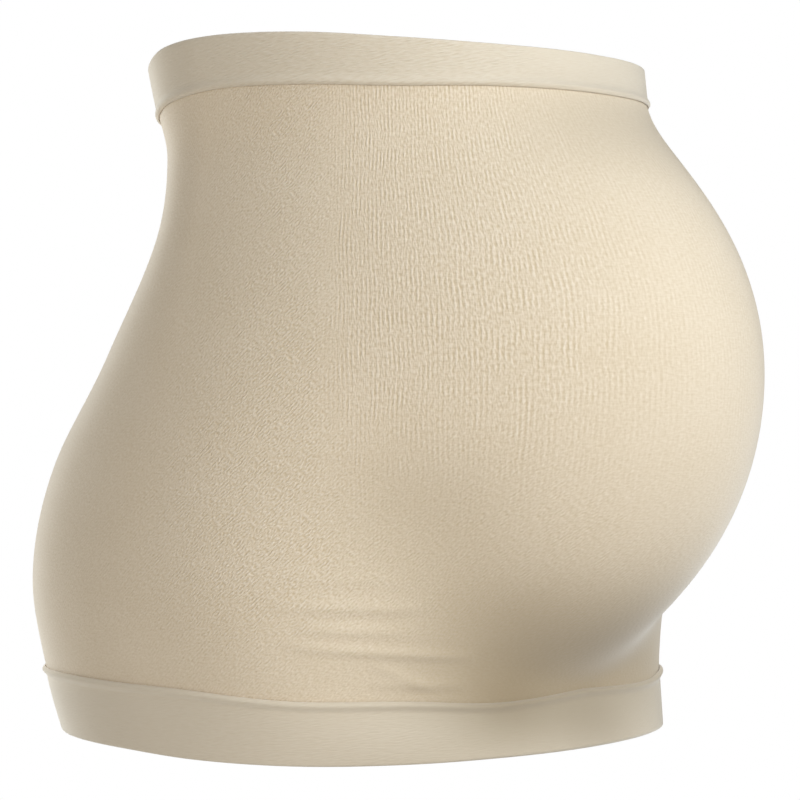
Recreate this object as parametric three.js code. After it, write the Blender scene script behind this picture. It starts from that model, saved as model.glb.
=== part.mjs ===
// A seamless knitted maternity band in its stretched form: a tube over back, hips and belly with a turned double
// welt at each end. Millimetres, +Z up, the belly towards -Y and the right hip towards -X. Angles go round from
// the front (0) by the right hip (90) to the back (180).
import * as THREE from 'three';

// The worn body of the band
const bandHeight = 334;
const seatHeight = 167;
const hipWidth = 330;
const hipDepth = 302;

// The belly, an egg-shaped bulge in front of the torso
const bellyWidth = 250;
const bellyDepth = 146;
const bellyReach = 212;
const bellyLevel = 177;
const bellyRise = 142;
const bellyDrop = 150;

// How far the cloth bridges the crease round the belly: below it, over it and beside it
const underBlend = 45;
const topBlend = 60;
const sideBlend = 90;

// The cloth
const knitWall = 1.4;
const weltWall = 2.4;
const lipWall = 1.1;
const clearance = 0.3;

// The welts and the ridge along each seam
const waistWeltHeight = 26;
const hipWeltHeight = 31;
const rimSway = 12;
const tuck = 4;
const ridgeSpan = 6.5;
const ridgeRise = 0.7;

// The folds that gather over the right hip
const foldRise = 1.6;
const foldWidth = 2.4;

// How finely the curved cloth is cut into facets
const columns = 54;
const hemSteps = 4;
const normalStep = 0.001;

// Cross-sections of the torso: height as a share of the band's, width of the hips', back and front of half the
// hips' depth, and how square the back and the front are, where 2 is an ellipse
const sections = [
  { height: 0.00, width: 0.930, back: 0.885, front: 0.930, squareBack: 2.20, squareFront: 2.30 },
  { height: 0.09, width: 0.965, back: 0.940, front: 0.855, squareBack: 2.25, squareFront: 2.60 },
  { height: 0.24, width: 1.000, back: 0.985, front: 0.900, squareBack: 2.30, squareFront: 2.30 },
  { height: 0.40, width: 0.955, back: 0.900, front: 0.900, squareBack: 2.30, squareFront: 2.15 },
  { height: 0.56, width: 0.870, back: 0.670, front: 0.900, squareBack: 2.20, squareFront: 2.15 },
  { height: 0.72, width: 0.790, back: 0.455, front: 0.920, squareBack: 2.10, squareFront: 2.15 },
  { height: 0.84, width: 0.755, back: 0.455, front: 0.950, squareBack: 2.10, squareFront: 2.15 },
  { height: 0.92, width: 0.770, back: 0.520, front: 0.950, squareBack: 2.10, squareFront: 2.15 },
  { height: 1.00, width: 0.798, back: 0.560, front: 0.920, squareBack: 2.10, squareFront: 2.15 },
];

// The two rims and the two seams by angle, the same on both sides: dip of the waist rim and rise of the hem as
// shares of the rims' sway, heights of the welts as shares of their full heights
const rims = [
  { angle: 0, waistDip: 0.50, waistWelt: 0.75, hipWelt: 0.84, hemRise: 0.15 },
  { angle: 28, waistDip: 0.46, waistWelt: 0.76, hipWelt: 0.79, hemRise: 0.15 },
  { angle: 48, waistDip: 0.30, waistWelt: 0.86, hipWelt: 0.93, hemRise: 0.07 },
  { angle: 66, waistDip: 0.08, waistWelt: 0.91, hipWelt: 0.97, hemRise: 0.02 },
  { angle: 85, waistDip: 0.02, waistWelt: 0.94, hipWelt: 1.05, hemRise: 0.10 },
  { angle: 100, waistDip: 0.25, waistWelt: 0.99, hipWelt: 1.02, hemRise: 0.28 },
  { angle: 115, waistDip: 0.75, waistWelt: 0.97, hipWelt: 1.02, hemRise: 0.36 },
  { angle: 140, waistDip: 1.00, waistWelt: 1.00, hipWelt: 1.00, hemRise: 0.40 },
  { angle: 180, waistDip: 1.05, waistWelt: 1.00, hipWelt: 1.00, hemRise: 0.40 },
];

// Folds: angle and height of the middle, reach to each side in degrees, width and rise as shares of the named
// ones, and climb towards the back in fold widths a degree
const folds = [
  { angle: 57, height: 0.253, reach: 10, width: 1.3, rise: 0.35, climb: 0.00 },
  { angle: 56, height: 0.215, reach: 13, width: 1.3, rise: 0.85, climb: 0.02 },
  { angle: 55, height: 0.184, reach: 10, width: 1.3, rise: 0.70, climb: 0.03 },
  { angle: 50, height: 0.154, reach: 17, width: 1.0, rise: 1.00, climb: 0.09 },
  { angle: 47, height: 0.119, reach: 7, width: 1.1, rise: 0.50, climb: 0.48 },
];

// Rows of facets up the tube: each zone ends at a share of the way between the seams, closest over the folds
const zones = [
  { end: 0.06, rows: 4 },
  { end: 0.17, rows: 13 },
  { end: 0.21, rows: 3 },
  { end: 1.00, rows: 12 },
];

// The ridge beside a seam, from its mouth: distance as a share of its span and height as a share of its rise,
// with the lip's own thickness as a share in its own column
const ridge = [
  { along: 0.02, lip: 0.55, rise: 0.0 },
  { along: 0.22, lip: 1.00, rise: 1.0 },
  { along: 0.52, lip: 1.00, rise: 0.6 },
];

const radians = THREE.MathUtils.degToRad;
const lerp = THREE.MathUtils.lerp;

// Value of one column of a table at a place along another, by a cubic through its rows
function lookUp(table, key, column, place) {
  const last = table.length - 1;
  const slope = (i) => {
    const before = table[Math.max(i - 1, 0)];
    const after = table[Math.min(i + 1, last)];
    return (after[column] - before[column]) / (after[key] - before[key]);
  };
  let i = 0;
  while (i < last - 1 && place >= table[i + 1][key]) i += 1;
  const span = table[i + 1][key] - table[i][key];
  const t = THREE.MathUtils.clamp((place - table[i][key]) / span, 0, 1);
  const start = (2 * t - 3) * t * t + 1;
  const leave = ((t - 2) * t + 1) * t * span;
  const arrive = (t - 1) * t * t * span;
  return start * table[i][column] + leave * slope(i) + (1 - start) * table[i + 1][column] + arrive * slope(i + 1);
}

// Angle in degrees from the front, the same on both sides
function turnFromFront(angle) {
  return THREE.MathUtils.radToDeg(Math.acos(Math.cos(angle)));
}

// Distance from the axis to the torso alone: an ellipse with squarer shoulders, deeper or shallower at the back
function torsoRadius(angle, height) {
  const share = height / bandHeight;
  const facesFront = Math.cos(angle) > 0;
  const halfWidth = (hipWidth / 2) * lookUp(sections, 'height', 'width', share);
  const reach = (hipDepth / 2) * lookUp(sections, 'height', facesFront ? 'front' : 'back', share);
  const power = lookUp(sections, 'height', facesFront ? 'squareFront' : 'squareBack', share);
  const across = Math.abs(Math.sin(angle) / halfWidth) ** power;
  const along = Math.abs(Math.cos(angle) / reach) ** power;
  return (across + along) ** (-1 / power);
}

// Distance from the axis to the belly's egg, or 0 where the line from the axis misses it
function bellyRadius(angle, height) {
  const above = height - bellyLevel;
  const t = above > 0 ? above / bellyRise : above / bellyDrop;
  const slice = Math.sqrt(Math.max(1 - t * t, 1e-6));
  const halfWidth = (bellyWidth / 2) * slice;
  const halfDepth = bellyDepth * slice;
  const centre = bellyReach - bellyDepth;
  const a = (Math.sin(angle) / halfWidth) ** 2 + (Math.cos(angle) / halfDepth) ** 2;
  const b = (Math.cos(angle) * centre) / halfDepth ** 2;
  const c = (centre / halfDepth) ** 2 - 1;
  const inside = b * b - a * c;
  return inside > 0 ? Math.max((b + Math.sqrt(inside)) / a, 0) : 0;
}

// The tube's outer face without its folds: the larger of torso and belly, with the cloth bridging the crease
function bodyPoint(angle, height) {
  const torso = torsoRadius(angle, height);
  const belly = bellyRadius(angle, height);
  const up = THREE.MathUtils.smoothstep(height, bellyLevel - bellyDrop, bellyLevel + bellyRise);
  const blend = lerp(lerp(underBlend, topBlend, up), sideBlend, Math.sin(angle) ** 2);
  const near = Math.max(1 - Math.abs(torso - belly) / blend, 0);
  const radius = Math.max(torso, belly) + (blend * near ** 3) / 6;
  return new THREE.Vector3(-radius * Math.sin(angle), -radius * Math.cos(angle), height);
}

// Outward direction of that face
function bodyNormal(angle, height) {
  const lift = normalStep * bandHeight;
  const up = bodyPoint(angle, height + lift).sub(bodyPoint(angle, height - lift));
  const round = bodyPoint(angle + normalStep, height).sub(bodyPoint(angle - normalStep, height));
  return up.cross(round).normalize();
}

// A point of the cloth, so far out from the middle of the tube's wall
function place(angle, height, out) {
  return bodyPoint(angle, height).addScaledVector(bodyNormal(angle, height), out - knitWall / 2);
}

// Heights of the rims and of the seams at one angle
function rimHeights(angle) {
  const turn = turnFromFront(angle);
  const at = (column) => lookUp(rims, 'angle', column, turn);
  const waistRim = bandHeight - rimSway * at('waistDip');
  const hem = rimSway * at('hemRise');
  return {
    waistRim,
    waistSeam: waistRim - waistWeltHeight * at('waistWelt'),
    hipSeam: hem + hipWeltHeight * at('hipWelt'),
    hem,
  };
}

// How far the folds lift the cloth, dying out at the seams
function foldLift(angle, height, hipSeam) {
  const turn = THREE.MathUtils.radToDeg(Math.atan2(Math.sin(angle), Math.cos(angle)));
  let lift = 0;
  for (const fold of folds) {
    const aside = turn - fold.angle;
    const middle = fold.height * bandHeight + fold.climb * foldWidth * aside;
    const across = (height - middle) / (fold.width * foldWidth);
    const fade = Math.max(1 - (aside / fold.reach) ** 2, 0);
    lift += fold.rise * foldRise * fade * Math.exp(-across * across);
  }
  return lift * THREE.MathUtils.smoothstep(height, hipSeam, hipSeam + ridgeSpan);
}

// A closed mesh from the cloth's outline at each angle, taken right round the body
function ringMesh(name, material, outlineAt) {
  const vertices = [];
  for (let column = 0; column < columns; column += 1) {
    const angle = (2 * Math.PI * column) / columns;
    for (const point of outlineAt(angle)) vertices.push(point.x, point.y, point.z);
  }
  const count = vertices.length / 3 / columns;
  const triangles = [];
  for (let column = 0; column < columns; column += 1) {
    const here = column * count;
    const next = ((column + 1) % columns) * count;
    for (let i = 0; i < count; i += 1) {
      const j = (i + 1) % count;
      triangles.push(here + i, here + j, next + j, here + i, next + j, next + i);
    }
  }
  const geometry = new THREE.BufferGeometry();
  geometry.setAttribute('position', new THREE.Float32BufferAttribute(vertices, 3));
  geometry.setIndex(triangles);
  geometry.computeVertexNormals();
  const mesh = new THREE.Mesh(geometry, material);
  mesh.name = name;
  return mesh;
}

// Outline of the tube's wall at one angle, with its edges tucked past both seams
function tubeOutline(angle) {
  const { waistSeam, hipSeam } = rimHeights(angle);
  const heights = [hipSeam - tuck, hipSeam];
  let start = 0;
  for (const zone of zones) {
    for (let row = 1; row <= zone.rows; row += 1) {
      const share = lerp(start, zone.end, row / zone.rows);
      heights.push(lerp(hipSeam, waistSeam, share));
    }
    start = zone.end;
  }
  heights.push(waistSeam + tuck);
  const face = (out) => heights.map((height) => place(angle, height, out + foldLift(angle, height, hipSeam)));
  return [...face(knitWall / 2), ...face(-knitWall / 2).reverse()];
}

// Outline of a welt from its mouth at the seam to its rim: the lips that hold the tube's edge, the ridge over
// the outer lip, the doubled cloth, and the fold at the rim
function weltOutline(angle, seam, rim) {
  const length = Math.abs(rim - seam);
  const slot = knitWall / 2 + clearance;
  const slotDepth = tuck + clearance;
  const half = weltWall / 2;
  const middle = (ridgeSpan + length - half) / 2;
  const outer = ridge.map((row) => [row.along * ridgeSpan, slot + row.lip * lipWall + row.rise * ridgeRise]);
  const inner = ridge.map((row) => [row.along * ridgeSpan, -slot - row.lip * lipWall]);
  const hem = [];
  for (let step = 0; step <= hemSteps; step += 1) {
    const turn = (Math.PI * step) / hemSteps;
    hem.push([length - half + half * Math.sin(turn), half * Math.cos(turn)]);
  }
  const outline = [
    ...outer,
    [ridgeSpan, half],
    [middle, half],
    ...hem,
    [middle, -half],
    [ridgeSpan, -half],
    ...inner.reverse(),
    [0, -slot],
    [slotDepth, -slot],
    [slotDepth, slot],
    [0, slot],
  ];
  const direction = Math.sign(rim - seam);
  const points = outline.map(([along, out]) => place(angle, seam + direction * along, out));
  return direction > 0 ? points : points.reverse();
}

function waistWelt(material) {
  return ringMesh('waist_welt', material, (angle) => {
    const { waistSeam, waistRim } = rimHeights(angle);
    return weltOutline(angle, waistSeam, waistRim);
  });
}

function hipWelt(material) {
  return ringMesh('hip_welt', material, (angle) => {
    const { hipSeam, hem } = rimHeights(angle);
    return weltOutline(angle, hipSeam, hem);
  });
}

function bellyTube(material) {
  return ringMesh('belly_tube', material, tubeOutline);
}

function knit(name, color) {
  return new THREE.MeshStandardMaterial({ name, color, roughness: 0.9, metalness: 0 });
}

const group = new THREE.Group();
group.position.z = -seatHeight;
group.add(
  waistWelt(knit('waist_knit', '#d8cbb2')),
  bellyTube(knit('body_knit', '#dccfb4')),
  hipWelt(knit('hip_knit', '#d8cbb2')),
);

export default group;
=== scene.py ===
"""A seamless knitted maternity band in its worn form, dressed for the studio.

The band is a stretch tube over back, hips and belly with a turned double welt at each end. Metres, +Z up,
the belly towards -Y and the right hip towards -X. Angles go round from the front (0) by the right hip (90
degrees) to the back (180 degrees), and heights count up from the level of the hem.
"""

import math

import bpy
import numpy as np
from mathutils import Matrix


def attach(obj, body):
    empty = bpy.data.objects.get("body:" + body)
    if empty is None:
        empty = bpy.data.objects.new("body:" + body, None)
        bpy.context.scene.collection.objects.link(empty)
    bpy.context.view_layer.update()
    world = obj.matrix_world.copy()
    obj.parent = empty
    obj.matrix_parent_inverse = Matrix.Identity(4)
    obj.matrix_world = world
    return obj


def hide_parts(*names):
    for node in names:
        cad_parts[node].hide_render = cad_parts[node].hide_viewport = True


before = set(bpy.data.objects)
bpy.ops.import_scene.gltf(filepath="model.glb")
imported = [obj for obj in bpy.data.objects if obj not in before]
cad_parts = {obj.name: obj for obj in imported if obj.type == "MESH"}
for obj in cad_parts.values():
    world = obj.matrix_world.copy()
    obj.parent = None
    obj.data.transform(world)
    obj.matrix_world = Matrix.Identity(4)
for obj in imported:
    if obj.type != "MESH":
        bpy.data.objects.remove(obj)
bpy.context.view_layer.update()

# The worn body of the band
BAND_HEIGHT = 0.334
SEAT_HEIGHT = 0.167
HIP_WIDTH = 0.330
HIP_DEPTH = 0.302

# The belly, an egg-shaped bulge in front of the torso
BELLY_WIDTH = 0.250
BELLY_DEPTH = 0.146
BELLY_REACH = 0.212
BELLY_LEVEL = 0.177
BELLY_RISE = 0.142
BELLY_DROP = 0.150

# How far the cloth bridges the crease round the belly: below it, over it and beside it
UNDER_BLEND = 0.045
TOP_BLEND = 0.060
SIDE_BLEND = 0.090

# The cloth, its welts and the ridge along each seam
KNIT_WALL = 0.0014
WELT_WALL = 0.0024
LIP_WALL = 0.0011
CLEARANCE = 0.0003
WAIST_WELT_HEIGHT = 0.026
HIP_WELT_HEIGHT = 0.031
RIM_SWAY = 0.012
TUCK = 0.004
RIDGE_SPAN = 0.0065
WAIST_RIDGE_RISE = 0.0003
HIP_RIDGE_RISE = 0.0007
RIDGE_CREST = 0.24
GROOVE_SHARE = 0.8
LIP_EDGE = 0.0002

# The folds that gather over the right hip
FOLD_RISE = 0.0016
FOLD_WIDTH = 0.0024

# How much wider the wales open over the belly
WALE_OPENING = 0.15

# The ribbed panel over the belly: half its angle and the height share where it starts, and how far each
# edge fades before and after it
PANEL_ANGLE = 62
PANEL_ANGLE_FADE = (8, 3)
PANEL_START = 0.42
PANEL_START_FADE = (0.20, 0.16)

# Where the knit's relief is pressed flat: how much, and the angles and height shares between which that
# comes in or goes. On the belly's front, round the sides and back, and low down towards the hem
FRONT_PRESS = 0.70
FRONT_ANGLES = (8, 38)
FRONT_SHARES = (0.10, 0.35)
SIDE_PRESS = 0.65
SIDE_ANGLES = (72, 100)
LOW_PRESS = 0.55
LOW_SHARES = (0.10, 0.26)

# How finely the surfaces are cut: columns round, rows up the tube's inner face for one up its outer face,
# and steps along each part of a welt's outline
COLUMNS = 480
INSIDE_ROW_STEP = 3
RISE_STEPS = 5
FALL_STEPS = 10
LIP_STRIDE = 2
FACE_STEPS = 7
RIM_STEPS = 8

# Cross-sections of the torso, as shares: height of the band's, width of the hips', back and front of half
# the hips' depth, and how square the back and the front are, where 2 is an ellipse
SECTIONS = {
    "height":       (0.00, 0.09, 0.24, 0.40, 0.56, 0.72, 0.84, 0.92, 1.00),
    "width":        (0.930, 0.965, 1.000, 0.955, 0.870, 0.790, 0.755, 0.770, 0.798),
    "back":         (0.885, 0.940, 0.985, 0.900, 0.670, 0.455, 0.455, 0.520, 0.560),
    "front":        (0.930, 0.855, 0.900, 0.900, 0.900, 0.920, 0.950, 0.950, 0.920),
    "square_back":  (2.20, 2.25, 2.30, 2.30, 2.20, 2.10, 2.10, 2.10, 2.10),
    "square_front": (2.30, 2.60, 2.30, 2.15, 2.15, 2.15, 2.15, 2.15, 2.15),
}

# The two rims and the two seams by angle: dip of the waist rim and rise of the hem as shares of the rims'
# sway, heights of the welts as shares of their full heights
RIMS = {
    "angle":      (0, 28, 48, 66, 85, 100, 115, 140, 180),
    "waist_dip":  (0.50, 0.46, 0.30, 0.08, 0.02, 0.25, 0.75, 1.00, 1.05),
    "waist_welt": (0.75, 0.76, 0.86, 0.91, 0.94, 0.99, 0.97, 1.00, 1.00),
    "hip_welt":   (0.84, 0.79, 0.93, 0.97, 1.05, 1.02, 1.02, 1.00, 1.00),
    "hem_rise":   (0.15, 0.15, 0.07, 0.02, 0.10, 0.28, 0.36, 0.40, 0.40),
}

# Folds: angle and height of the middle, reach to each side in degrees, width and rise as shares of the
# named ones, and climb towards the back in fold widths a degree. The sixth lies on the hip seam, and the
# last five are the faint ones at the waist's side
FOLDS = {
    "angle":  (57, 56, 55, 50, 47, 44, 64, 65, 61, 64, 62),
    "height": (0.253, 0.215, 0.184, 0.154, 0.119, 0.110, 0.482, 0.447, 0.423, 0.397, 0.376),
    "reach":  (10, 13, 10, 17, 7, 10, 4, 4, 6, 5, 7),
    "width":  (1.3, 1.3, 1.3, 1.0, 1.1, 1.1, 0.8, 0.8, 0.9, 0.9, 1.0),
    "rise":   (0.35, 0.85, 0.70, 1.00, 0.50, 0.70, 0.15, 0.15, 0.20, 0.20, 0.25),
    "climb":  (0.00, 0.02, 0.03, 0.09, 0.48, 0.06, 0.00, 0.00, 0.00, 0.00, 0.00),
}

# Painted shade, partly slack knit: the knit is coloured darker where shade falls, in the creases and
# under the belly, where the light falls off, and where it lies slack and shut: angle and reach round in
# degrees, height and spread as shares of the band's height, how dark and slack, and how much of that the
# left side has too. Row by row: the crease under the belly, the welt below it, two up the crease between
# belly and hip, the cloth over the hip seam, the seam itself, the belly's underside, the belly's top, the
# underside in front, and the hem
SHADE_AND_SLACK_ROWS = {
    "angle":  (20, 6, 40, 46, 41, 27, 28, 12, 0, 48),
    "height": (0.125, 0.030, 0.265, 0.370, 0.115, 0.050, 0.215, 0.880, 0.180, 0.000),
    "reach":  (22, 13, 15, 14, 15, 14, 16, 18, 14, 14),
    "spread": (0.100, 0.060, 0.100, 0.080, 0.070, 0.065, 0.060, 0.070, 0.085, 0.035),
    "depth":  (1.22, 0.50, 0.45, 0.36, 0.40, 0.66, 0.30, 0.40, 0.26, 0.36),
    "left":   (1.0, 1.0, 1.0, 1.0, 1.0, 0.2, 1.0, 1.0, 1.0, 1.0),
}

# Rows of the tube between its seams: each zone ends at a share of the way up, closest over the folds
ZONES = {
    "end":  (0.24, 0.33, 0.50, 1.00),
    "rows": (62, 8, 28, 46),
}

# The two knits: colours of a stitch and of the groove beside it, wales counted round the band and courses
# up it, depth of the relief, and how much of it the colour shows
BODY_KNIT = {
    "light": (0.88, 0.76, 0.605, 1.0),
    "dark": (0.69, 0.55, 0.365, 1.0),
    "wales": 1000,
    "courses": 340,
    "depth": 0.00006,
    "contrast": 0.32,
}
WELT_KNIT = {
    "light": (0.785, 0.695, 0.56, 1.0),
    "dark": (0.70, 0.59, 0.44, 1.0),
    "wales": 300,
    "courses": 440,
    "depth": 0.00004,
    "contrast": 0.20,
}

# Noise cells for each wale and course: dashes that lean, stand and lie, then tension over a few stitches
# and patches of a few centimetres
LEANING = (1.15, 0.5)
STANDING = (1.6, 0.5)
LYING = (0.45, 1.2)
TENSION = (0.14, 0.12)
PATCH = (0.035, 0.035)
DASH_DETAIL = 0.5
PATCH_DETAIL = 1.0

# The knit's parts: wander of its lines with the patches, lines for each wale, strength of each kind of
# dash, how the twill and the ribs come and go with the tension, what slack cloth loses, how deep and warm
# the painted shade over the slack cloth is, and the patches' share of the colour
WANDER = 1.5
TWILL_PITCH = 0.5
RIB_PITCH = 0.55
LEANING_RISE = 5.5
STANDING_RISE = 4.0
LYING_RISE = 1.5
TWILL_TENSION = 2.0
TWILL_BASE = 0.5
RIB_TENSION = 3.2
RIB_BASE = 0.9
SLACK_RELIEF = 0.6
SHADE_AND_SLACK_DARKENING = 0.55
SHADE_AND_SLACK_TINT = (0.45, 0.42, 0.36)
PATCH_SHADE = 0.15

# The cloth's sheen, and the floor
KNIT_ROUGHNESS = 0.86
KNIT_SPECULAR = 0.2
SHEEN = 0.60
SHEEN_ROUGHNESS = 0.5
SHEEN_TINT = (0.98, 0.97, 0.94, 1.0)
FLOOR_COLOUR = (0.82, 0.82, 0.81, 1.0)
FLOOR_ROUGHNESS = 0.9
FLOOR_CLOUDS = 1.5
FLOOR_DIM = 0.98

# The Mix node's sockets for colours
MIX_FACTOR = 0
MIX_LOW = 6
MIX_HIGH = 7
MIX_RESULT = 2

# The view and the light, as the photograph has them. Lamps: degrees round from the camera to its right,
# degrees up, and watts
VIEW_AZIMUTH = -55
VIEW_DISTANCE = 1.5
VIEW_ASIDE = 0.019
VIEW_LEVEL = -0.002
LENS_MM = 135
FARTHEST_SEEN = 50
FLOOR_DROP = 1.6
FLOOR_SIDE = 5.0
AMBIENT = (0.08, 0.08, 0.08, 1.0)
BACKDROP = (1.0, 1.0, 1.0, 1.0)
LAMP_FAR = 2.2
LAMP_SIZE = 1.4
LAMPS = {
    "name":   ("key", "top", "fill", "low", "back_left", "back_right"),
    "around": (45, 62, -45, 0, -140, 100),
    "up":     (18, 45, 10, -40, 5, 25),
    "power":  (33.5, 14.5, 14.0, 9.5, 47.0, 9.0),
    "colour": ((0.92, 0.96, 1.0), (0.86, 0.94, 1.0), (1.0, 0.99, 0.96), (1.0, 0.94, 0.86),
               (0.96, 0.98, 0.96), (0.92, 0.96, 1.0)),
}


def look_up(table, key, column, place):
    """Value of a column at places along another: a cubic through the rows, its slope at a row that of the
    line between the row's neighbours."""
    x = np.array(table[key], float)
    y = np.array(table[column], float)
    after = np.minimum(np.arange(len(x)) + 1, len(x) - 1)
    before = np.maximum(np.arange(len(x)) - 1, 0)
    slope = (y[after] - y[before]) / (x[after] - x[before])
    i = np.clip(np.searchsorted(x, place, side="right") - 1, 0, len(x) - 2)
    span = x[i + 1] - x[i]
    t = np.clip((place - x[i]) / span, 0, 1)
    start = (2 * t - 3) * t * t + 1
    leave = ((t - 2) * t + 1) * t * span
    arrive = (t - 1) * t * t * span
    return start * y[i] + leave * slope[i] + (1 - start) * y[i + 1] + arrive * slope[i + 1]


def smooth_step(value, low, high):
    """0 below low, 1 above high, and an S curve between."""
    t = np.clip((value - low) / (high - low), 0, 1)
    return t * t * (3 - 2 * t)


def torso_radius(angle, height):
    """Distance from the axis to the torso alone: (|sin/half width|^p + |cos/reach|^p)^(-1/p), p its
    squareness."""
    share = height / BAND_HEIGHT
    front = np.cos(angle) > 0
    half_width = HIP_WIDTH / 2 * look_up(SECTIONS, "height", "width", share)
    shares = np.where(front, look_up(SECTIONS, "height", "front", share),
                      look_up(SECTIONS, "height", "back", share))
    reach = HIP_DEPTH / 2 * shares
    power = np.where(front, look_up(SECTIONS, "height", "square_front", share),
                     look_up(SECTIONS, "height", "square_back", share))
    across = np.abs(np.sin(angle) / half_width) ** power
    along = np.abs(np.cos(angle) / reach) ** power
    return (across + along) ** (-1 / power)


def belly_radius(angle, height):
    """Distance from the axis to the far side of the belly's egg: the larger root of the line through its
    slice at that height, or 0 where the line misses it."""
    above = height - BELLY_LEVEL
    t = np.where(above > 0, above / BELLY_RISE, above / BELLY_DROP)
    part = np.sqrt(np.maximum(1 - t * t, 1e-6))
    half_width = BELLY_WIDTH / 2 * part
    half_depth = BELLY_DEPTH * part
    centre = BELLY_REACH - BELLY_DEPTH
    a = (np.sin(angle) / half_width) ** 2 + (np.cos(angle) / half_depth) ** 2
    b = np.cos(angle) * centre / half_depth ** 2
    c = (centre / half_depth) ** 2 - 1
    inside = b * b - a * c
    root = (b + np.sqrt(np.maximum(inside, 0))) / a
    return np.where(inside > 0, np.maximum(root, 0), 0)


def body_point(angle, height):
    """The tube's outer face without folds: the larger of torso and belly, plus a cubic bridge where they
    are close."""
    torso = torso_radius(angle, height)
    belly = belly_radius(angle, height)
    up = smooth_step(height, BELLY_LEVEL - BELLY_DROP, BELLY_LEVEL + BELLY_RISE)
    middle = UNDER_BLEND + (TOP_BLEND - UNDER_BLEND) * up
    blend = middle + (SIDE_BLEND - middle) * np.sin(angle) ** 2
    near = np.maximum(1 - np.abs(torso - belly) / blend, 0)
    radius = np.maximum(torso, belly) + blend * near ** 3 / 6
    return np.stack([-radius * np.sin(angle), -radius * np.cos(angle), height - SEAT_HEIGHT], axis=-1)


def body_normal(angle, height):
    """Outward direction of that face, from steps up and round."""
    step = 0.001
    lift = step * BAND_HEIGHT
    up = body_point(angle, height + lift) - body_point(angle, height - lift)
    around = body_point(angle + step, height) - body_point(angle - step, height)
    normal = np.cross(up, around)
    return normal / np.linalg.norm(normal, axis=-1, keepdims=True)


def place(angle, height, out):
    """A point of the cloth, so far out from the middle of the tube's wall."""
    return body_point(angle, height) + body_normal(angle, height) * (out - KNIT_WALL / 2)[..., None]


def rim_heights(angle):
    """Heights of waist rim, waist seam, hip seam and hem at each angle."""
    turn = np.degrees(np.arccos(np.cos(angle)))
    waist_rim = BAND_HEIGHT - RIM_SWAY * look_up(RIMS, "angle", "waist_dip", turn)
    hem = RIM_SWAY * look_up(RIMS, "angle", "hem_rise", turn)
    waist_seam = waist_rim - WAIST_WELT_HEIGHT * look_up(RIMS, "angle", "waist_welt", turn)
    hip_seam = hem + HIP_WELT_HEIGHT * look_up(RIMS, "angle", "hip_welt", turn)
    return waist_rim, waist_seam, hip_seam, hem


def fold_lift(angle, height, hip_seam):
    """How far the folds lift the cloth: each a bell curve across, a parabola along, dying out at the
    seam."""
    turn = np.degrees(np.arctan2(np.sin(angle), np.cos(angle)))[..., None]
    fold = {name: np.array(values, float) for name, values in FOLDS.items()}
    aside = turn - fold["angle"]
    middle = fold["height"] * BAND_HEIGHT + fold["climb"] * FOLD_WIDTH * aside
    across = (height[..., None] - middle) / (fold["width"] * FOLD_WIDTH)
    fade = np.maximum(1 - (aside / fold["reach"]) ** 2, 0)
    lift = (fold["rise"] * FOLD_RISE * fade * np.exp(-across ** 2)).sum(axis=-1)
    return lift * smooth_step(height, hip_seam, hip_seam + RIDGE_SPAN)


def wale_share(angle):
    """Share of the wales passed by each angle: wider apart over the belly, closer at the back."""
    return (angle - WALE_OPENING * np.sin(angle)) / (2 * np.pi)


def panel_lines(angle, height):
    """1 in the panel over the belly, where the wales stand apart in lines, and 0 at the back and hips: an S
    curve across the panel's edge and up from its start."""
    turn = np.degrees(np.arccos(np.cos(angle)))
    share = height / BAND_HEIGHT
    aside = smooth_step(turn, PANEL_ANGLE - PANEL_ANGLE_FADE[0], PANEL_ANGLE + PANEL_ANGLE_FADE[1])
    up = smooth_step(share, PANEL_START - PANEL_START_FADE[0], PANEL_START + PANEL_START_FADE[1])
    return (1 - aside) * up


def painted_shade_and_slackness(angle, height):
    """How much painted shade, partly slack knit, darkens the knit: for each row of the table a bell curve
    up times a pair of bell curves round, one on the right and one on the left, the left one times its share."""
    turn = np.degrees(np.arctan2(np.sin(angle), np.cos(angle)))[..., None]
    rows = {name: np.array(values, float) for name, values in SHADE_AND_SLACK_ROWS.items()}
    right = np.exp(-((turn - rows["angle"]) / rows["reach"]) ** 2)
    left = np.exp(-((turn + rows["angle"]) / rows["reach"]) ** 2)
    across = (height[..., None] / BAND_HEIGHT - rows["height"]) / rows["spread"]
    return (rows["depth"] * (right + left * rows["left"]) * np.exp(-across ** 2)).sum(axis=-1)


def relief_left(angle, height):
    """How much of the knit's relief is left: most over the hips' front, less on the front of the belly,
    where the cloth is pulled flat, and little at the sides and back. Each loss is a product of S curves."""
    turn = np.degrees(np.arccos(np.cos(angle)))
    share = height / BAND_HEIGHT
    front = (1 - smooth_step(turn, *FRONT_ANGLES)) * smooth_step(share, *FRONT_SHARES)
    side = smooth_step(turn, *SIDE_ANGLES)
    low = 1 - smooth_step(share, *LOW_SHARES)
    return (1 - FRONT_PRESS * front) * (1 - SIDE_PRESS * side) * (1 - LOW_PRESS * low)


def around():
    """The angles of the columns, once round from the middle of the back."""
    return np.linspace(-np.pi, np.pi, COLUMNS, endpoint=False)


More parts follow.
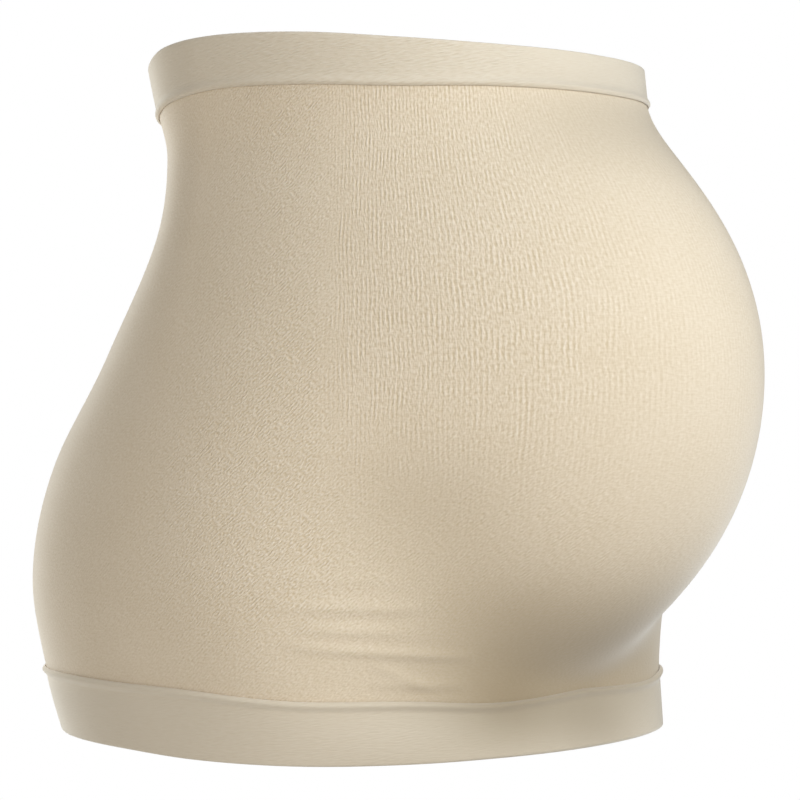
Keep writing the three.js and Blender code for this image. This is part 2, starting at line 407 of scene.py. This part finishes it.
def ring_mesh(name, angle, height, points, lines, material, node):
    """A piece from a grid of rows by columns that closes both ways. Its UV map has wales across and height
    up, its lines and relief attributes say how the knit lies, and a third attribute holds the painted
    shade, partly slack knit, that darkens it."""
    rows, columns = angle.shape
    row, column = np.meshgrid(np.arange(rows), np.arange(columns), indexing="ij")
    row_after = (row + 1) % rows
    column_after = (column + 1) % columns
    corner_rows = np.stack([row, row_after, row_after, row], axis=-1).reshape(-1)
    corner_columns = np.stack([column, column, column_after, column_after], axis=-1).reshape(-1)
    faces = (corner_rows * columns + corner_columns).reshape(-1, 4)

    mesh = bpy.data.meshes.new(name)
    mesh.from_pydata(points.reshape(-1, 3).tolist(), [], faces.tolist())
    mesh.polygons.foreach_set("use_smooth", np.ones(len(faces), bool))

    wale = wale_share(angle)[corner_rows, corner_columns]
    crossing = np.stack([column, column, column + 1, column + 1], axis=-1).reshape(-1) == columns
    uv = np.stack([wale + crossing, height[corner_rows, corner_columns] / BAND_HEIGHT], axis=-1)
    mesh.uv_layers.new(name="knit").data.foreach_set("uv", uv.reshape(-1))
    # The third attribute is painted shade, partly slack knit, by which the material darkens the colour
    lie = {"lines": lines, "relief": relief_left(angle, height), "shade_and_slack": painted_shade_and_slackness(angle, height)}
    for key, values in lie.items():
        mesh.attributes.new(key, "FLOAT", "POINT").data.foreach_set("value", values.reshape(-1))
    mesh.materials.append(material)

    piece = bpy.data.objects.new(name, mesh)
    bpy.context.collection.objects.link(piece)
    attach(piece, "root")
    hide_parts(node)
    return piece


def tube(material):
    """The body of the band: rows up its outer face, folds and all, and fewer rows down its inner face, with
    both edges tucked past the seams."""
    angle = around()
    _, waist_seam, hip_seam, _ = rim_heights(angle)
    shares = [np.zeros(1)]
    start = 0.0
    for end, rows in zip(ZONES["end"], ZONES["rows"]):
        shares.append(np.linspace(start, end, rows + 1)[1:])
        start = end
    share = np.concatenate(shares)[:, None]
    height = hip_seam + (waist_seam - hip_seam) * share
    height = np.concatenate([hip_seam[None] - TUCK, height, waist_seam[None] + TUCK])
    inside = np.concatenate([height[:1], height[1:-1:INSIDE_ROW_STEP], height[-1:]])[::-1]
    heights = np.concatenate([height, inside])
    out = np.concatenate([np.full(height.shape, KNIT_WALL / 2), np.full(inside.shape, -KNIT_WALL / 2)])
    angles = np.broadcast_to(angle, heights.shape)
    out = out + fold_lift(angles, heights, hip_seam)
    points = place(angles, heights, out)
    lines = panel_lines(angles, heights)
    return ring_mesh("belly_tube_knit", angles, heights, points, lines, material, "belly_tube")


def welt_profile(length, ridge_rise):
    """A welt's outline from its mouth to its rim and back: distances along it as shares of length or in
    metres, and offsets from the middle of the tube's wall. The ridge is a sine rise and a cosine fall with
    a groove behind it, the rim a half circle, and the slot holds the tube's edge."""
    slot = KNIT_WALL / 2 + CLEARANCE
    half = WELT_WALL / 2
    crest = slot + LIP_WALL + ridge_rise
    before = np.linspace(0, 1, RISE_STEPS + 1)[:-1]
    after = np.linspace(0, 1, FALL_STEPS + 1)
    rise_along = before * RIDGE_CREST * RIDGE_SPAN
    rise_out = slot + LIP_EDGE + (crest - slot - LIP_EDGE) * np.sin(before * np.pi / 2)
    fall_along = RIDGE_SPAN * (RIDGE_CREST + (1 - RIDGE_CREST) * after)
    fall_out = half + (crest - half) * (0.5 + 0.5 * np.cos(after * np.pi))
    fall_out = fall_out - GROOVE_SHARE * ridge_rise * np.sin(after * np.pi) ** 2
    lip_along = fall_along[::-LIP_STRIDE]
    lip_out = -half - (slot + LIP_WALL - half) * (0.5 + 0.5 * np.cos(after[::-LIP_STRIDE] * np.pi))
    body = np.linspace(0, 1, FACE_STEPS + 1)[1:-1, None]
    turn = np.linspace(0, np.pi, RIM_STEPS + 1)[:, None]
    body_along = RIDGE_SPAN + (length - half - RIDGE_SPAN) * body
    rim_along = length - half + half * np.sin(turn)
    wide = np.ones_like(length)[None]
    slot_along = np.array([0, 0, TUCK + CLEARANCE, TUCK + CLEARANCE, 0])
    along = [rise_along[:, None] * wide, fall_along[:, None] * wide, body_along, rim_along, body_along[::-1],
             lip_along[:, None] * wide, slot_along[:, None] * wide]
    out = [rise_out, fall_out, np.full(len(body), half), half * np.cos(turn[:, 0]), np.full(len(body), -half),
           lip_out, np.array([-slot - LIP_WALL, -slot, -slot, slot, slot])]
    return np.concatenate(along), np.concatenate(out)[:, None] * wide


def welt(name, node, seam, rim, ridge_rise, material):
    """A turned double welt between its seam and its rim."""
    angle = around()
    along, out = welt_profile(np.abs(rim - seam), ridge_rise)
    upward = rim[0] > seam[0]
    heights = seam + along if upward else seam - along
    if not upward:
        heights = heights[::-1]
        out = out[::-1]
    angles = np.broadcast_to(angle, heights.shape)
    points = place(angles, heights, out)
    return ring_mesh(name, angles, heights, points, np.zeros(heights.shape), material, node)


class Socket:
    """An output in a material's tree. Python's operators on it add Math nodes."""

    def __init__(self, material, link):
        self.material = material
        self.link = link

    def output(self, name):
        """Another output of the same node."""
        return Socket(self.material, self.link.node.outputs[name])

    def math(self, operation, *terms):
        return self.material.node("Math", {"operation": operation}, dict(enumerate(terms)))

    def __add__(self, other):
        return self.math("ADD", self, other)

    __radd__ = __add__

    def __sub__(self, other):
        return self.math("SUBTRACT", self, other)

    def __rsub__(self, other):
        return self.math("SUBTRACT", other, self)

    def __mul__(self, other):
        return self.math("MULTIPLY", self, other)

    __rmul__ = __mul__

    def wave(self):
        """From -1 to 1 and back, once a unit."""
        return self.math("COSINE", self * (2 * math.pi))


class Finish:
    """A material, and the one method that adds its nodes."""

    def __init__(self, name):
        self.data = bpy.data.materials.new(name)
        self.data.use_nodes = True
        self.tree = self.data.node_tree
        self.shader = self.tree.nodes["Principled BSDF"]

    def set(self, socket, value):
        """Puts a number, a colour or a link on a socket."""
        if isinstance(value, Socket):
            self.tree.links.new(value.link, socket)
        else:
            socket.default_value = value

    def node(self, kind, settings=None, inputs=None, output=0):
        """Adds a node of a kind: its settings first, then the values or links of its sockets."""
        node = self.tree.nodes.new("ShaderNode" + kind)
        for name, value in (settings or {}).items():
            setattr(node, name, value)
        for name, value in (inputs or {}).items():
            self.set(node.inputs[name], value)
        return Socket(self, node.outputs[output])

    def noise(self, across, up, cells, detail):
        """Soft noise from 0 to 1, with so many cells for each count across and up."""
        place_at = self.node("CombineXYZ", {}, {"X": across * cells[0], "Y": up * cells[1]})
        inputs = {"Vector": place_at, "Scale": 1.0, "Detail": detail}
        return self.node("TexNoise", {"noise_dimensions": "2D"}, inputs)

    def mix_colour(self, factor, low, high):
        """The low colour at factor 0, the high one at 1."""
        inputs = {MIX_FACTOR: factor, MIX_LOW: low, MIX_HIGH: high}
        return self.node("Mix", {"data_type": "RGBA"}, inputs, output=MIX_RESULT)

    def surface(self, **inputs):
        """Sets the shader's own sockets."""
        for name, value in inputs.items():
            self.set(self.shader.inputs[name.replace("_", " ")], value)


def knit(name, light, dark, wales, courses, depth, contrast):
    """Fine stretch knit. Where it lies easy, its stitches lean in short slanted dashes over a faint twill,
    a cosine of wale plus course. In the panel they stand in upright dashes over ribs, a cosine of the wale.
    Both wander with the tension and the patches. The grooves are darker and warmer, and painted shade,
    partly slack cloth, makes the knit darker still in the creases and under the belly."""
    finish = Finish(name)
    split = finish.node("SeparateXYZ", {}, {"Vector": finish.node("UVMap", {"uv_map": "knit"})})
    wale = split * wales
    course = split.output("Y") * courses
    lines = finish.node("Attribute", {"attribute_name": "lines"}).output("Fac")
    left = finish.node("Attribute", {"attribute_name": "relief"}).output("Fac")
    # Painted shade, partly slack knit, read from the piece's attribute
    shade_and_slack = finish.node("Attribute", {"attribute_name": "shade_and_slack"}).output("Fac")

    leaning = finish.noise(wale + course, wale - course, LEANING, DASH_DETAIL)
    standing = finish.noise(wale, course, STANDING, DASH_DETAIL)
    lying = finish.noise(wale, course, LYING, DASH_DETAIL)
    tension = finish.noise(wale, course, TENSION, PATCH_DETAIL)
    patch = finish.noise(wale, course, PATCH, PATCH_DETAIL)

    twill_at = (wale + course) * TWILL_PITCH + (tension - 0.5 + patch * WANDER)
    twill = twill_at.wave() * (tension * TWILL_TENSION - TWILL_BASE) + (leaning - 0.5) * LEANING_RISE
    ribs_at = wale * RIB_PITCH + patch * WANDER
    ribs = ribs_at.wave() * (tension * RIB_TENSION - RIB_BASE) + (standing - 0.5) * STANDING_RISE
    stitches = (twill * (1 - lines) + ribs * lines) * left * (1 - shade_and_slack * SLACK_RELIEF)
    relief = stitches + (lying - 0.5) * LYING_RISE

    bump = finish.node("Bump", {}, {"Strength": 1.0, "Distance": depth, "Height": relief})
    shade = relief * contrast + (patch - 0.5) * PATCH_SHADE + 0.5
    colour = finish.mix_colour(shade, dark, light)
    # Painted shade, partly slack cloth: the colour is pulled towards a darker, warmer copy of the groove
    # colour
    shaded_and_shut = tuple(part * tint for part, tint in zip(dark, SHADE_AND_SLACK_TINT)) + (1.0,)
    colour = finish.mix_colour(shade_and_slack * SHADE_AND_SLACK_DARKENING, colour, shaded_and_shut)
    finish.surface(Base_Color=colour, Roughness=KNIT_ROUGHNESS, Normal=bump, Specular_IOR_Level=KNIT_SPECULAR,
                   Sheen_Weight=SHEEN, Sheen_Roughness=SHEEN_ROUGHNESS, Sheen_Tint=SHEEN_TINT)
    return finish.data


def plain(name, colour, roughness):
    """A plain matt surface with the faintest cloudiness, for the floor."""
    finish = Finish(name)
    cloud = finish.node("TexNoise", {}, {"Scale": FLOOR_CLOUDS})
    dim = tuple(FLOOR_DIM * part for part in colour[:3]) + (1.0,)
    finish.surface(Base_Color=finish.mix_colour(cloud, dim, colour), Roughness=roughness)
    return finish.data


def view_axes():
    """The camera's own directions on level ground: towards it from the band, and to its right."""
    turn = math.radians(VIEW_AZIMUTH)
    towards = np.array([math.sin(turn), -math.cos(turn), 0.0])
    right = np.array([math.cos(turn), math.sin(turn), 0.0])
    return towards, right


def aim(thing, target):
    """Turns a camera or lamp to look at a point, upright."""
    direction = np.array(thing.location) - np.array(target)
    level = math.hypot(direction[0], direction[1])
    thing.rotation_euler = (math.atan2(level, direction[2]), 0.0, math.atan2(direction[0], -direction[1]))


def camera():
    """The photograph's camera: level, a little aside, and aimed at the band."""
    towards, right = view_axes()
    target = right * VIEW_ASIDE + np.array([0.0, 0.0, VIEW_LEVEL])
    data = bpy.data.cameras.new("camera")
    data.lens = LENS_MM
    data.clip_end = FARTHEST_SEEN
    thing = bpy.data.objects.new("camera", data)
    thing.location = target + towards * VIEW_DISTANCE
    aim(thing, target)
    bpy.context.collection.objects.link(thing)
    bpy.context.scene.camera = thing


def soft_light(name, around, up, power, colour):
    """A square area lamp, so many degrees round from the camera to its right and up, aimed at the band."""
    towards, right = view_axes()
    turn, rise = math.radians(around), math.radians(up)
    direction = (towards * math.cos(turn) + right * math.sin(turn)) * math.cos(rise)
    data = bpy.data.lights.new(name, "AREA")
    data.size = LAMP_SIZE
    data.energy = power
    data.color = colour
    thing = bpy.data.objects.new(name, data)
    thing.location = (direction + np.array([0.0, 0.0, math.sin(rise)])) * LAMP_FAR
    aim(thing, (0.0, 0.0, 0.0))
    bpy.context.collection.objects.link(thing)


def studio_world(ambient, backdrop):
    """Soft light from all round, and a white backdrop where the camera looks past the band."""
    world = bpy.data.worlds.new("studio")
    world.use_nodes = True
    tree = world.node_tree
    light = tree.nodes["Background"]
    light.inputs["Color"].default_value = ambient
    seen = tree.nodes.new("ShaderNodeBackground")
    seen.inputs["Color"].default_value = backdrop
    path = tree.nodes.new("ShaderNodeLightPath")
    mix = tree.nodes.new("ShaderNodeMixShader")
    tree.links.new(path.outputs["Is Camera Ray"], mix.inputs["Fac"])
    tree.links.new(light.outputs["Background"], mix.inputs[1])
    tree.links.new(seen.outputs["Background"], mix.inputs[2])
    tree.links.new(mix.outputs["Shader"], tree.nodes["World Output"].inputs["Surface"])
    bpy.context.scene.world = world


def floor(material):
    """A level square well below the band, which hangs from its mount."""
    half = FLOOR_SIDE / 2
    level = -SEAT_HEIGHT - FLOOR_DROP
    corners = np.array([[-1, -1], [1, -1], [1, 1], [-1, 1]]) * half
    points = np.column_stack([corners, np.full(4, level)])
    mesh = bpy.data.meshes.new("floor")
    mesh.from_pydata(points.tolist(), [], [[0, 1, 2, 3]])
    mesh.materials.append(material)
    piece = bpy.data.objects.new("floor", mesh)
    bpy.context.collection.objects.link(piece)


body_finish = knit("body_knit", **BODY_KNIT)
welt_finish = knit("welt_knit", **WELT_KNIT)

waist_rim, waist_seam, hip_seam, hem = rim_heights(around())
body = tube(body_finish)
waist = welt("waist_welt_knit", "waist_welt", waist_seam, waist_rim, WAIST_RIDGE_RISE, welt_finish)
hips = welt("hip_welt_knit", "hip_welt", hip_seam, hem, HIP_RIDGE_RISE, welt_finish)

floor(plain("floor", FLOOR_COLOUR, FLOOR_ROUGHNESS))
camera()
studio_world(AMBIENT, BACKDROP)
for lamp in zip(LAMPS["name"], LAMPS["around"], LAMPS["up"], LAMPS["power"], LAMPS["colour"]):
    soft_light(*lamp)
bpy.context.scene.view_settings.view_transform = "Standard"
